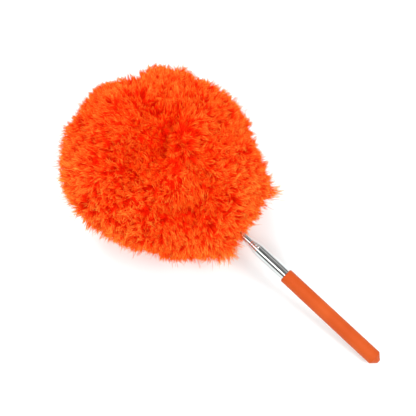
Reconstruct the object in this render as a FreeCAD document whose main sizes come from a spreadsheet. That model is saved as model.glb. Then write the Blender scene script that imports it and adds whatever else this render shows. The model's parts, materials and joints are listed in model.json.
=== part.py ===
import FreeCAD, Part
import Sketcher
import math
import os

# A telescopic duster lying on its side on a table.  The grip's end touches the
# table at -X and the round head of plumes rests on it at +X.  All sizes are in
# millimetres and degrees.  A "station" is a distance along the pole's axis,
# counted from the flat end of the grip towards the head.

SIZES = {
    # The pole's lie on the table.
    "pole_tilt": 12.0,
    # Grip: a soft sleeve with a coned, closed end.
    "grip_length": 94.0,
    "grip_diameter": 11.6,
    "grip_cone_length": 4.1,
    "grip_end_diameter": 3.4,
    "grip_end_wall": 5.0,
    "grip_front_round": 1.0,
    # Telescopic pole: tube 1 is the outermost.
    "tube_diameter": 9.0,
    "tube_wall": 0.3,
    "nesting_gap": 0.175,
    "bare_tube_length": 30.6,
    "tip_step": 2.2,
    "swage_length": 1.2,
    "lip_length": 0.5,
    "lip_clearance": 0.04,
    "stop_gap": 0.2,
    # Plug that closes the outer tube inside the grip.
    "base_flange": 1.0,
    "base_spigot": 6.0,
    # Turned foot plug and split friction spring of each inner tube.
    "foot_flange": 0.6,
    "foot_neck": 3.4,
    "foot_spigot": 1.8,
    "foot_clearance": 0.05,
    "spring_thickness": 0.35,
    "spring_clearance": 0.03,
    "spring_end_play": 0.1,
    "spring_wrap": 325.0,
    # Socket on the innermost tube, and what fastens it.
    "neck_bare_length": 8.7,
    "socket_inset": 6.2,
    "socket_diameter": 12.0,
    "socket_rear_diameter": 9.0,
    "socket_taper_length": 4.0,
    "socket_length": 22.0,
    "socket_bore_depth": 12.0,
    "pin_diameter": 1.6,
    "pin_depth": 8.0,
    "collar_wall": 0.5,
    "collar_length": 5.0,
    "collar_setback": 1.0,
    # Cores of the plumes: straight out of the socket, outwards, then back in.
    "plume_count": 8.0,
    "core_diameter": 2.2,
    "core_circle_diameter": 8.0,
    "core_depth": 8.0,
    "core_straight": 3.0,
    "core_flare_radius": 14.0,
    "core_flare_angle": 48.0,
    "core_bow_radius": 62.0,
    "core_return_angle": 50.0,
    # Head: the outer form that the plumes fill together.
    "head_length": 173.0,
    "head_width": 156.0,
    "head_height": 118.0,
    "head_overhang": 4.4,
    "head_lift": 2.0,
    "plume_gap": 0.5,
    "socket_room": 0.8,
}

SHEET = "Sizes"
TUBES = 5
SECTOR_REACH = 300.0

doc = FreeCAD.newDocument("duster")


def make_sheet():
    """Put each driving size in a cell of its own, under its name."""
    new_sheet = doc.addObject("Spreadsheet::Sheet", SHEET)
    for row, (name, number) in enumerate(SIZES.items(), start=1):
        new_sheet.set(f"A{row}", str(number))
        new_sheet.setAlias(f"A{row}", name)
    doc.recompute()
    return new_sheet


sheet = make_sheet()


def cell(name):
    """Return the expression that reads one driving size."""
    return f"{SHEET}.{name}"


def value(expression):
    """Return the number that an expression stands for."""
    return float(sheet.evalExpression(expression))


def total(*terms):
    """Return the expression for a sum of other expressions."""
    return " + ".join(f"({term})" for term in terms)


def less(first, *rest):
    """Return the expression for one expression less the others."""
    return f"({first})" + "".join(f" - ({term})" for term in rest)


# Radii of the nested tubes, as expressions.


def tube_outside(tube):
    """Return the outer radius of a tube, counted from 1, the outermost."""
    return f"{cell('tube_diameter')} / 2 - {tube - 1} * ({cell('tube_wall')} + {cell('nesting_gap')})"


def tube_inside(tube):
    """Return the bore radius of a tube."""
    return less(tube_outside(tube), cell("tube_wall"))


def lip_inside(tube):
    """Return the radius of the rolled-in lip at a tube's tip, which guides the next tube."""
    return total(tube_outside(tube + 1), cell("lip_clearance"))


# Stations along the pole, as expressions.

FIRST_TIP = total(cell("grip_length"), cell("bare_tube_length"))
OUTER_FOOT = total(cell("grip_end_wall"), cell("base_flange"))
BASE_TOP = total(OUTER_FOOT, cell("base_spigot"))
FOOT_LENGTH = total(cell("foot_flange"), cell("foot_neck"), cell("foot_flange"))
FOOT_PITCH = total(FOOT_LENGTH, cell("foot_spigot"), cell("stop_gap"))


def tube_tip(tube):
    """Return the station of a tube's tip while the pole is pushed together."""
    return total(FIRST_TIP, f"{tube - 1} * {cell('tip_step')}")


def foot_bottom(tube):
    """Return the station of the underside of an inner tube's foot plug."""
    return total(BASE_TOP, cell("stop_gap"), f"{tube - 2} * ({FOOT_PITCH})")


def tube_foot(tube):
    """Return the station of the lower end of a tube."""
    return OUTER_FOOT if tube == 1 else total(foot_bottom(tube), FOOT_LENGTH)


HEAD_START = total(tube_tip(TUBES - 1), cell("neck_bare_length"))
HEAD_CENTRE = less(total(HEAD_START, f"{cell('head_length')} / 2"), cell("head_overhang"))
SOCKET_START = total(HEAD_START, cell("socket_inset"))
SOCKET_END = total(SOCKET_START, cell("socket_length"))
POLE_END = total(SOCKET_START, cell("socket_bore_depth"))
PIN_STATION = total(SOCKET_START, cell("pin_depth"))
CORE_START = less(SOCKET_END, cell("core_depth"))
CORE_RADIUS = f"{cell('core_circle_diameter')} / 2"


def pole_frame():
    """Return the placement of the pole's own frame.

    Its Z runs along the pole from the grip's flat end, and its X points down
    towards the table.  The grip's cone rests on the table with the edge where
    it meets the barrel, and the whole object's box is centred on the origin.
    """
    tilt = math.radians(value(cell("pole_tilt")))
    cone = value(cell("grip_cone_length"))
    barrel = value(cell("grip_diameter")) / 2
    rise = barrel * math.cos(tilt) - cone * math.sin(tilt)
    rear = -value(cell("grip_end_diameter")) / 2 * math.sin(tilt)
    centre = value(HEAD_CENTRE) * math.cos(tilt) - value(cell("head_lift")) * math.sin(tilt)
    reach = math.hypot(
        value(cell("head_length")) / 2 * math.cos(tilt),
        value(cell("head_height")) / 2 * math.sin(tilt),
    )
    back = -(rear + centre + reach) / 2
    turn = FreeCAD.Rotation(FreeCAD.Vector(0, 1, 0), 90 - value(cell("pole_tilt")))
    return FreeCAD.Placement(FreeCAD.Vector(back, 0, rise), turn)


POLE = pole_frame()
SUBPARTS = []


def keep(piece, label, placement=POLE):
    """Label a finished sub-part, place it and list it for writing."""
    piece.Label = label
    piece.Placement = placement
    SUBPARTS.append(piece)
    return piece


def turned(angle):
    """Return the pole's frame turned about the pole by an angle."""
    spin = FreeCAD.Rotation(FreeCAD.Vector(0, 0, 1), angle)
    return POLE * FreeCAD.Placement(FreeCAD.Vector(), spin)


def pin_frame():
    """Return the pole's frame turned so that the socket's first hole meets the first core."""
    return turned(180 / value(cell("plume_count")))


def new_body(label):
    """Return an empty body."""
    return doc.addObject("PartDesign::Body", f"{label}_body")


def new_sketch(body, name, role):
    """Return an empty sketch on one of the body's own origin planes."""
    sketch = body.newObject("Sketcher::SketchObject", name)
    planes = [plane for plane in body.Origin.OriginFeatures if plane.Role == role]
    sketch.AttachmentSupport = [(planes[0], "")]
    sketch.MapMode = "FlatFace"
    return sketch


def bind(sketch, kind, geometry, point, expression):
    """Hold a sketch point at a distance from the origin given by an expression."""
    on_axis = {"DistanceX": -2, "DistanceY": -1}[kind]
    if expression == "0":
        sketch.addConstraint(Sketcher.Constraint("PointOnObject", geometry, point, on_axis))
        return
    row = sketch.addConstraint(Sketcher.Constraint(kind, -1, 1, geometry, point, value(expression)))
    sketch.setExpression(f"Constraints[{row}]", expression)


def bind_size(sketch, kind, geometry, expression):
    """Give a circle or an arc in a sketch the size that an expression stands for."""
    row = sketch.addConstraint(Sketcher.Constraint(kind, geometry, value(expression)))
    sketch.setExpression(f"Constraints[{row}]", expression)


def outline(body, name, points):
    """Draw a closed outline of straight sides in the plane of the pole's axis.

    Each point is a pair of expressions: its distance from the axis and its station.
    """
    sketch = new_sketch(body, name, "XZ_Plane")
    spots = [FreeCAD.Vector(value(radius), value(station), 0) for radius, station in points]
    count = len(spots)
    for index, spot in enumerate(spots):
        sketch.addGeometry(Part.LineSegment(spot, spots[(index + 1) % count]), False)
    for index in range(count):
        following = (index + 1) % count
        sketch.addConstraint(Sketcher.Constraint("Coincident", index, 2, following, 1))
    for index, (radius, station) in enumerate(points):
        bind(sketch, "DistanceX", index, 1, radius)
        bind(sketch, "DistanceY", index, 1, station)
    return sketch


def revolve(label, points, angle="360"):
    """Turn an outline about the pole's axis and return the body and the feature."""
    body = new_body(label)
    profile = outline(body, f"{label}_outline", points)
    feature = body.newObject("PartDesign::Revolution", f"{label}_turning")
    feature.Profile = (profile, [""])
    feature.ReferenceAxis = (profile, ["V_Axis"])
    feature.setExpression("Angle", angle)
    doc.recompute()
    return body, feature


def cross_hole(body, label):
    """Drill the hole of the socket's pin right through a body, across the pole."""
    before = body.Shape.Volume
    sketch = new_sketch(body, f"{label}_drilling", "XZ_Plane")
    centre = FreeCAD.Vector(0, value(PIN_STATION), 0)
    radius = value(cell("pin_diameter")) / 2
    sketch.addGeometry(Part.Circle(centre, FreeCAD.Vector(0, 0, 1), radius), False)
    bind(sketch, "DistanceX", 0, 3, "0")
    bind(sketch, "DistanceY", 0, 3, PIN_STATION)
    bind_size(sketch, "Diameter", 0, cell("pin_diameter"))
    pocket = body.newObject("PartDesign::Pocket", f"{label}_hole")
    pocket.Profile = (sketch, [""])
    pocket.SideType = "Symmetric"
    pocket.setExpression("Length", total(cell("socket_diameter"), cell("socket_diameter")))
    doc.recompute()
    if body.Shape.Volume >= before:
        raise RuntimeError(f"the pin's hole cut nothing from {label}")


def ring_edge(feature, radius, station):
    """Return the name of the circular edge with this radius at this station."""
    for number, edge in enumerate(feature.Shape.Edges, start=1):
        if not isinstance(edge.Curve, Part.Circle):
            continue
        if math.isclose(edge.Curve.Radius, radius, abs_tol=1e-4):
            if math.isclose(edge.Curve.Center.z, station, abs_tol=1e-4):
                return f"Edge{number}"
    raise RuntimeError(f"{feature.Label} has no edge of radius {radius} at {station}")


def make_grip():
    """Soft sleeve over the outer tube, closed by a cone with a small flat end."""
    barrel = f"{cell('grip_diameter')} / 2"
    bore = tube_outside(1)
    body, turning = revolve(
        "handle_grip",
        [
            ("0", "0"),
            (f"{cell('grip_end_diameter')} / 2", "0"),
            (barrel, cell("grip_cone_length")),
            (barrel, cell("grip_length")),
            (bore, cell("grip_length")),
            (bore, cell("grip_end_wall")),
            ("0", cell("grip_end_wall")),
        ],
    )
    rim = ring_edge(turning, value(barrel), value(cell("grip_length")))
    rounding = body.newObject("PartDesign::Fillet", "grip_front_rounding")
    rounding.Base = (turning, [rim])
    rounding.setExpression("Radius", cell("grip_front_round"))
    doc.recompute()
    keep(body, "handle_grip")


def make_base_plug():
    """Plug that closes the outer tube, and that the pole bottoms on."""
    flange = tube_outside(1)
    spigot = tube_inside(1)
    body, _ = revolve(
        "base_plug",
        [
            ("0", cell("grip_end_wall")),
            (flange, cell("grip_end_wall")),
            (flange, OUTER_FOOT),
            (spigot, OUTER_FOOT),
            (spigot, BASE_TOP),
            ("0", BASE_TOP),
        ],
    )
    keep(body, "base_plug")


def make_guide_tube(tube):
    """One of the tubes that hold a smaller one: its tip is swaged in to a short lip."""
    outside = tube_outside(tube)
    inside = tube_inside(tube)
    lip = lip_inside(tube)
    lip_outside = total(lip, cell("tube_wall"))
    tip = tube_tip(tube)
    lip_start = less(tip, cell("lip_length"))
    shoulder = less(lip_start, cell("swage_length"))
    label = f"pole_tube_{tube}"
    body, _ = revolve(
        label,
        [
            (inside, tube_foot(tube)),
            (outside, tube_foot(tube)),
            (outside, shoulder),
            (lip_outside, lip_start),
            (lip_outside, tip),
            (lip, tip),
            (lip, lip_start),
            (inside, shoulder),
        ],
    )
    keep(body, label)


def make_last_tube():
    """Innermost tube: plain, and drilled across for the pin in the socket."""
    label = f"pole_tube_{TUBES}"
    outside = tube_outside(TUBES)
    inside = tube_inside(TUBES)
    body, _ = revolve(
        label,
        [
            (inside, tube_foot(TUBES)),
            (outside, tube_foot(TUBES)),
            (outside, POLE_END),
            (inside, POLE_END),
        ],
    )
    cross_hole(body, label)
    keep(body, label, pin_frame())


def spring_outside(tube):
    """Return the outer radius of a tube's friction spring, in the tube around it."""
    return less(tube_inside(tube - 1), cell("spring_clearance"))


def make_foot_plug(tube):
    """Turned plug in an inner tube's lower end: two flanges with a neck between."""
    flange = less(tube_inside(tube - 1), cell("foot_clearance"))
    neck = less(spring_outside(tube), cell("spring_thickness"), cell("spring_clearance"))
    bottom = foot_bottom(tube)
    neck_start = total(bottom, cell("foot_flange"))
    neck_end = total(neck_start, cell("foot_neck"))
    label = f"foot_plug_{tube}"
    body, _ = revolve(
        label,
        [
            ("0", bottom),
            (flange, bottom),
            (flange, neck_start),
            (neck, neck_start),
            (neck, neck_end),
            (flange, neck_end),
            (flange, tube_foot(tube)),
            (tube_inside(tube), tube_foot(tube)),
            (tube_inside(tube), total(tube_foot(tube), cell("foot_spigot"))),
            ("0", total(tube_foot(tube), cell("foot_spigot"))),
        ],
    )
    keep(body, label)


def make_friction_spring(tube):
    """Split sleeve on the neck of a foot plug, which rubs in the tube around it."""
    outside = spring_outside(tube)
    inside = less(outside, cell("spring_thickness"))
    start = total(foot_bottom(tube), cell("foot_flange"), cell("spring_end_play"))
    end = less(tube_foot(tube), cell("foot_flange"), cell("spring_end_play"))
    label = f"friction_spring_{tube}"
    body, _ = revolve(
        label,
        [(inside, start), (outside, start), (outside, end), (inside, end)],
        cell("spring_wrap"),
    )
    keep(body, label)


def make_socket():
    """Moulded socket: a bore for the pole at the back, a ring of blind holes in front."""
    label = "head_socket"
    barrel = f"{cell('socket_diameter')} / 2"
    bore = tube_outside(TUBES)
    body, turning = revolve(
        label,
        [
            (bore, SOCKET_START),
            (f"{cell('socket_rear_diameter')} / 2", SOCKET_START),
            (barrel, total(SOCKET_START, cell("socket_taper_length"))),
            (barrel, SOCKET_END),
            ("0", SOCKET_END),
            ("0", POLE_END),
            (bore, POLE_END),
        ],
    )
    cross_hole(body, label)
    before = body.Shape.Volume
    sketch = core_section(body, "core_hole_circle", SOCKET_END)
    pocket = body.newObject("PartDesign::Pocket", "core_hole")
    pocket.Profile = (sketch, [""])
    pocket.setExpression("Length", cell("core_depth"))
    doc.recompute()
    one_hole = before - body.Shape.Volume
    if one_hole <= 0:
        raise RuntimeError("the first core hole cut nothing")
    pattern = body.newObject("PartDesign::PolarPattern", "core_holes")
    pattern.Originals = [pocket]
    pattern.Axis = (turning.Profile[0], ["V_Axis"])
    pattern.Angle = 360
    pattern.setExpression("Occurrences", cell("plume_count"))
    body.Tip = pattern
    doc.recompute()
    drilled = before - body.Shape.Volume
    if not math.isclose(drilled, one_hole * value(cell("plume_count")), rel_tol=1e-3):
        raise RuntimeError("the core holes run into each other")
    keep(body, label, pin_frame())


def core_section(body, name, station):
    """Draw a core's round section across the pole at a station."""
    sketch = new_sketch(body, name, "XY_Plane")
    sketch.setExpression("AttachmentOffset.Base.z", station)
    centre = FreeCAD.Vector(value(CORE_RADIUS), 0, 0)
    radius = value(cell("core_diameter")) / 2
    sketch.addGeometry(Part.Circle(centre, FreeCAD.Vector(0, 0, 1), radius), False)
    bind(sketch, "DistanceX", 0, 3, CORE_RADIUS)
    bind(sketch, "DistanceY", 0, 3, "0")
    bind_size(sketch, "Diameter", 0, cell("core_diameter"))
    return sketch


def make_pin():
    """Pin across the pole that holds the socket on the innermost tube."""
    pin = doc.addObject("Part::Cylinder", "pin_solid")
    pin.setExpression("Radius", f"{cell('pin_diameter')} / 2")
    pin.setExpression("Height", cell("socket_diameter"))
    middle = FreeCAD.Vector(0, value(cell("socket_diameter")) / 2, value(PIN_STATION))
    across = FreeCAD.Rotation(FreeCAD.Vector(1, 0, 0), 90)
    keep(pin, "socket_pin", pin_frame() * FreeCAD.Placement(middle, across))


def make_collar():
    """Metal ring shrunk round the front of the socket, over the cores' holes."""
    inside = f"{cell('socket_diameter')} / 2"
    outside = total(inside, cell("collar_wall"))
    end = less(SOCKET_END, cell("collar_setback"))
    start = less(end, cell("collar_length"))
    body, _ = revolve(
        "core_collar",
        [(inside, start), (outside, start), (outside, end), (inside, end)],
    )
    keep(body, "core_collar")


def core_path(body, name):
    """Draw the line of a core: straight, an arc outwards and a wide arc back in."""
    sketch = new_sketch(body, name, "XZ_Plane")
    flare = value(cell("core_flare_radius"))
    bow = value(cell("core_bow_radius"))
    out_angle = math.radians(value(cell("core_flare_angle")))
    in_angle = math.radians(value(cell("core_return_angle")))
    radius = value(CORE_RADIUS)
    flare_start = total(SOCKET_END, cell("core_straight"))
    flare_rise = f"{cell('core_flare_radius')} * sin({cell('core_flare_angle')} * 1 deg)"
    bow_rise = (
        f"{cell('core_bow_radius')} * (sin({cell('core_flare_angle')} * 1 deg)"
        f" + sin({cell('core_return_angle')} * 1 deg))"
    )
    bow_start = total(flare_start, flare_rise)
    bow_end = total(bow_start, bow_rise)
    up = FreeCAD.Vector(0, 0, 1)
    foot = FreeCAD.Vector(radius, value(CORE_START), 0)
    knee = FreeCAD.Vector(radius, value(flare_start), 0)
    flare_centre = knee + FreeCAD.Vector(flare, 0, 0)
    turn_point = flare_centre + FreeCAD.Vector(-math.cos(out_angle), math.sin(out_angle), 0) * flare
    bow_centre = turn_point + FreeCAD.Vector(-math.cos(out_angle), math.sin(out_angle), 0) * bow
    sketch.addGeometry(Part.LineSegment(foot, knee), False)
    flare_circle = Part.Circle(flare_centre, up, flare)
    sketch.addGeometry(Part.ArcOfCircle(flare_circle, math.pi - out_angle, math.pi), False)
    bow_circle = Part.Circle(bow_centre, up, bow)
    sketch.addGeometry(Part.ArcOfCircle(bow_circle, -out_angle, in_angle), False)
    bind(sketch, "DistanceX", 0, 1, CORE_RADIUS)
    bind(sketch, "DistanceY", 0, 1, CORE_START)
    bind(sketch, "DistanceY", 0, 2, flare_start)
    sketch.addConstraint(Sketcher.Constraint("Vertical", 0))
    sketch.addConstraint(Sketcher.Constraint("Tangent", 0, 2, 1, 2))
    bind_size(sketch, "Radius", 1, cell("core_flare_radius"))
    bind(sketch, "DistanceY", 1, 1, bow_start)
    sketch.addConstraint(Sketcher.Constraint("Tangent", 1, 1, 2, 1))
    bind_size(sketch, "Radius", 2, cell("core_bow_radius"))
    bind(sketch, "DistanceY", 2, 2, bow_end)
    return sketch


def make_core(number, angle):
    """Twisted core of a plume, as one smooth rod along its bowed line."""
    label = f"plume_core_{number}"
    body = new_body(label)
    path = core_path(body, f"{label}_line")
    section = core_section(body, f"{label}_section", CORE_START)
    doc.recompute()
    pipe = body.newObject("PartDesign::AdditivePipe", f"{label}_rod")
    pipe.Profile = section
    pipe.Spine = (path, [f"Edge{edge}" for edge in range(1, 4)])
    doc.recompute()
    keep(body, label, turned(angle))


def make_head_form():
    """Whole form of the head: a rounded mass, flat on the table, open round the socket."""
    mass = doc.addObject("Part::Ellipsoid", "head_mass")
    mass.setExpression("Radius1", f"{cell('head_length')} / 2")
    mass.setExpression("Radius2", f"{cell('head_height')} / 2")
    mass.setExpression("Radius3", f"{cell('head_width')} / 2")
    mass.Placement.Base = FreeCAD.Vector(-value(cell("head_lift")), 0, value(HEAD_CENTRE))
    table_space = doc.addObject("Part::Box", "space_over_table")
    table_space.Length = table_space.Width = table_space.Height = 2 * SECTOR_REACH
    corner = FreeCAD.Vector(-SECTOR_REACH, -SECTOR_REACH, 0)
    table_space.Placement = POLE.inverse() * FreeCAD.Placement(corner, FreeCAD.Rotation())
    resting = doc.addObject("Part::Common", "resting_mass")
    resting.Base = mass
    resting.Tool = table_space
    room = doc.addObject("Part::Cylinder", "room_round_socket")
    room.setExpression(
        "Radius", total(f"{cell('socket_diameter')} / 2", cell("collar_wall"), cell("socket_room"))
    )
    room.setExpression("Height", total(SOCKET_END, cell("socket_room")))
    form = doc.addObject("Part::Cut", "head_form")
    form.Base = resting
    form.Tool = room
    doc.recompute()
    return form


def make_plume(number, angle, form):
    """Fluff of one plume: a sector of the head's form, apart from its neighbours."""
    spread = 360 / value(cell("plume_count"))
    shift = value(cell("plume_gap")) / 2 / math.sin(math.radians(spread / 2))
    sector = doc.addObject("Part::Cylinder", f"plume_sector_{number}")
    sector.setExpression("Angle", f"360 / {cell('plume_count')}")
    sector.Radius = SECTOR_REACH
    sector.setExpression("Height", total(HEAD_START, cell("head_length"), cell("head_length")))
    spin = FreeCAD.Placement(FreeCAD.Vector(), FreeCAD.Rotation(FreeCAD.Vector(0, 0, 1), angle))
    out = FreeCAD.Placement(FreeCAD.Vector(shift, 0, 0), FreeCAD.Rotation())
    back = FreeCAD.Rotation(FreeCAD.Vector(0, 0, 1), -spread / 2)
    sector.Placement = spin * out * FreeCAD.Placement(FreeCAD.Vector(), back)
    plume = doc.addObject("Part::Common", f"plume_solid_{number}")
    plume.Base = form
    plume.Tool = sector
    doc.recompute()
    keep(plume, f"plume_{number}")


def write_parts():
    """Check every object and every sub-part, then write the sub-parts' files."""
    doc.recompute()
    for thing in doc.Objects:
        if "Invalid" in thing.State or "Error" in thing.State:
            raise RuntimeError(f"{thing.Label} did not rebuild: {thing.State}")
    for piece in SUBPARTS:
        if piece.Shape.isNull() or not piece.Shape.isValid():
            raise RuntimeError(f"{piece.Label} has no valid shape")
    os.makedirs("parts", exist_ok=True)
    for piece in SUBPARTS:
        piece.Shape.exportStep(f"parts/{piece.Label}.step")


def main():
    """Make every sub-part in the order in which the duster is put together."""
    make_grip()
    make_base_plug()
    for tube in range(1, TUBES):
        make_guide_tube(tube)
    make_last_tube()
    for tube in range(2, TUBES + 1):
        make_foot_plug(tube)
        make_friction_spring(tube)
    make_socket()
    make_pin()
    make_collar()
    form = make_head_form()
    count = int(value(cell("plume_count")))
    for number in range(1, count + 1):
        angle = (number - 0.5) * 360 / count
        make_core(number, angle)
        make_plume(number, angle, form)
    write_parts()


main()
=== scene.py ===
import json
import logging
import math
from dataclasses import dataclass, field
from enum import Enum

import bpy
import numpy as np
from mathutils import Matrix, Vector

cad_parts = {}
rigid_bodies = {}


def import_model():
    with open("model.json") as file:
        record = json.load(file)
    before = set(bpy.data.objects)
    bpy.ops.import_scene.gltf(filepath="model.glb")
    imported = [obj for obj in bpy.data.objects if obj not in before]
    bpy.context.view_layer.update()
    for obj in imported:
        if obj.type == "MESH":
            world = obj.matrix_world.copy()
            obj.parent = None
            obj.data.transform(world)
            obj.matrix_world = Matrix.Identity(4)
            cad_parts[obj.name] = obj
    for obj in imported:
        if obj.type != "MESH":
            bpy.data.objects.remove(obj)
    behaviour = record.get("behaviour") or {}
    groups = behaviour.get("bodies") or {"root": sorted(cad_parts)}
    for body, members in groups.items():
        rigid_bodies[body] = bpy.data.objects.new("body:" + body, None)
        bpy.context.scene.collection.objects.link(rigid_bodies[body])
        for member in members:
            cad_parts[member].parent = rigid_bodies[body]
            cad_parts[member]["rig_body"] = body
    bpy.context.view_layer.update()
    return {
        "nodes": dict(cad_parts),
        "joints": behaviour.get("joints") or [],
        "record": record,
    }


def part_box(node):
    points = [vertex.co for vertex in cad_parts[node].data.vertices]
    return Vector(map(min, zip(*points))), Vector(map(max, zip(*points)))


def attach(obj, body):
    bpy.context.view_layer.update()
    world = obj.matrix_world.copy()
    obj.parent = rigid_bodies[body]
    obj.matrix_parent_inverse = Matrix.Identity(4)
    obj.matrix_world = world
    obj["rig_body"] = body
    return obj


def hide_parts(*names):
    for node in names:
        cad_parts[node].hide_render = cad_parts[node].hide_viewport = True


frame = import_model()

MM = 0.001
SEED = 20
Array = np.ndarray
Colour = tuple[float, float, float]
log = logging.getLogger("duster")


class Slot(Enum):
    """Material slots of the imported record."""

    GRIP = "grip_rubber"
    TUBE = "tube_steel"
    BRASS = "turned_brass"
    PLUG = "plug_plastic"
    SOCKET = "socket_plastic"
    PIN = "pin_steel"
    COLLAR = "collar_steel"
    CORD = "core_cord"
    FIBRE = "plume_fibre"


class Body(Enum):
    """CAD bodies that visible pieces ride on."""

    HANDLE = "handle"
    HEAD = "head"


# ---------------------------------------------------------------------------
# Meshes
# ---------------------------------------------------------------------------


def unit(vectors: Array) -> Array:
    """Scale vectors to length one.

    Args:
        vectors: array whose last axis holds the components.

    Returns:
        The same directions with length one.
    """
    return vectors / np.maximum(np.linalg.norm(vectors, axis=-1, keepdims=True), 1e-12)


def new_mesh_object(
    name: str, points: Array, faces: list[Array], uv: Array | None = None
) -> bpy.types.Object:
    """Make a smooth mesh object from whole arrays.

    Args:
        name: name of the piece.
        points: (n, 3) vertex positions in metres.
        faces: arrays of vertex numbers, one array per face size.
        uv: optional (loops, 2) coordinates in the order of the faces' corners.

    Returns:
        The object, linked to the scene, with its place in its mesh.
    """
    mesh = bpy.data.meshes.new(name)
    corners = np.concatenate([block.ravel() for block in faces]).astype(np.int32)
    sizes = np.concatenate([np.full(len(block), block.shape[1]) for block in faces])
    starts = np.concatenate([[0], np.cumsum(sizes)[:-1]]).astype(np.int32)
    mesh.vertices.add(len(points))
    mesh.vertices.foreach_set("co", points.astype(np.float32).ravel())
    mesh.loops.add(len(corners))
    mesh.loops.foreach_set("vertex_index", corners)
    mesh.polygons.add(len(sizes))
    mesh.polygons.foreach_set("loop_start", starts)
    mesh.polygons.foreach_set("use_smooth", np.ones(len(sizes), bool))
    mesh.update(calc_edges=True)
    if uv is not None:
        layer = mesh.uv_layers.new(name="OFBake")
        layer.data.foreach_set("uv", uv.astype(np.float32).ravel())
    mesh.validate()
    thing = bpy.data.objects.new(name, mesh)
    bpy.context.scene.collection.objects.link(thing)
    return thing


@dataclass(frozen=True)
class PoleAxis:
    """The pole's own frame: a station is a distance along it from the grip's flat end."""

    origin: Array
    along: Array

    @property
    def up(self) -> Array:
        """Direction across the pole that points most nearly upwards."""
        return unit(np.array([0.0, 0.0, 1.0]) - self.along * self.along[2])

    @property
    def side(self) -> Array:
        """Horizontal direction across the pole, so that side, up and along are right-handed."""
        return np.cross(self.up, self.along)

    @staticmethod
    def from_frame() -> "PoleAxis":
        """Read the pole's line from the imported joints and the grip's own vertices.

        Returns:
            The pole's frame, with its origin at the grip's flat end.
        """
        joint = next(j for j in frame["joints"] if j["type"] == "hinge")
        point = np.array(joint["pos_m"], float)
        along = unit(np.array(joint["axis"], float))
        grip = node_points("handle_grip")
        return PoleAxis(point + along * ((grip - point) @ along).min(), along)

    def at(self, station: float) -> Array:
        """Return the point on the pole's line at a station."""
        return self.origin + self.along * station

    def reach(self, node: str) -> tuple[float, float, float]:
        """Measure a CAD node against the pole.

        Args:
            node: name of the CAD node.

        Returns:
            Its lowest station, its highest station and its largest radius.
        """
        points = node_points(node) - self.origin
        stations = points @ self.along
        radii = np.linalg.norm(points - stations[:, None] * self.along, axis=1)
        return float(stations.min()), float(stations.max()), float(radii.max())


def node_points(node: str) -> Array:
    """Return a CAD node's vertices as an (n, 3) array."""
    mesh = frame["nodes"][node].data
    points = np.empty(len(mesh.vertices) * 3, np.float32)
    mesh.vertices.foreach_get("co", points)
    return points.reshape(-1, 3).astype(float)


def rounded_profile(corners: list[tuple[float, float, float]], closed: bool, steps: int = 7) -> Array:
    """Round the corners of an outline with arcs.

    Each arc meets its two sides tangentially, and a point just past each end of it keeps the
    flat sides flat under smooth shading.  The arc's points are the blend of its two side
    directions by sine weights.

    Args:
        corners: (radius, station, rounding) of each corner, in order.
        closed: whether the last corner joins the first.
        steps: number of spans in each arc.

    Returns:
        (n, 2) array of radius and station.
    """
    places = np.array([corner[:2] for corner in corners])
    count = len(corners)
    line = []
    for index, (_, _, rounding) in enumerate(corners):
        place = places[index]
        is_end = not closed and index in (0, count - 1)
        if is_end or rounding <= 0:
            line.append(place[None])
            continue
        to_last = unit(places[index - 1] - place)
        to_next = unit(places[(index + 1) % count] - place)
        half = math.acos(float(np.clip(to_last @ to_next, -1, 1))) / 2
        trim = rounding / math.tan(half)
        centre = place + unit(to_last + to_next) * (rounding / math.sin(half))
        start = place + to_last * trim - centre
        end = place + to_next * trim - centre
        sweep = math.pi - 2 * half
        turn = np.linspace(0, 1, steps + 1)[:, None] * sweep
        arc = centre + (np.sin(sweep - turn) * start + np.sin(turn) * end) / math.sin(sweep)
        margin = 0.12 * rounding
        line += [arc[:1] + to_last * margin, arc, arc[-1:] + to_next * margin]
    return np.concatenate(line)


def ring_faces(count: int, columns: int, closed: bool) -> list[Array]:
    """Join rings of vertices into faces that point outwards.

    Vertex k of ring j has the number j * columns + k.  An open stack is closed by two fans,
    round the vertices numbered count * columns, at its start, and the next one, at its end.

    Args:
        count: number of rings.
        columns: number of vertices in each ring.
        closed: whether the last ring joins the first.

    Returns:
        Arrays of vertex numbers: the quads, and for an open stack the two fans.
    """
    rows = np.arange(count if closed else count - 1)
    row, column = np.meshgrid(rows, np.arange(columns), indexing="ij")
    after = (column + 1) % columns
    following = (row + 1) % count
    corners = [
        row * columns + column,
        row * columns + after,
        following * columns + after,
        following * columns + column,
    ]
    quads = np.stack(corners, axis=-1).reshape(-1, 4)
    if closed:
        return [quads]
    here = np.arange(columns)
    onward = (here + 1) % columns
    base = (count - 1) * columns
    start = np.full(columns, count * columns)
    return [
        quads,
        np.stack([onward, here, start], axis=-1),
        np.stack([base + here, base + onward, start + 1], axis=-1),
    ]


def revolved(name: str, axis: PoleAxis, profile: Array, closed: bool, spokes: int = 96) -> bpy.types.Object:
    """Turn a profile about the pole.

    The point of spoke k is the profile's radius times the unit vector at angle 2 pi k / spokes
    across the pole, plus its station along the pole.

    Args:
        name: name of the piece.
        axis: the pole's frame.
        profile: (n, 2) radius and station; an open profile starts and ends on the axis.
        closed: whether the profile is a closed ring, as for a tube's wall.
        spokes: number of vertices round the pole.

    Returns:
        A closed object whose faces point outwards.
    """
    ring = profile if closed else profile[1:-1]
    angle = np.arange(spokes) * (2 * math.pi / spokes)
    spoke = np.cos(angle)[:, None] * axis.side + np.sin(angle)[:, None] * axis.up
    points = axis.origin + ring[:, None, 1:] * axis.along + ring[:, None, :1] * spoke
    points = points.reshape(-1, 3)
    if not closed:
        ends = np.stack([axis.at(profile[0, 1]), axis.at(profile[-1, 1])])
        points = np.concatenate([points, ends])
    return new_mesh_object(name, points, ring_faces(len(ring), spokes, closed))


# ---------------------------------------------------------------------------
# Finishes
# ---------------------------------------------------------------------------


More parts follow.
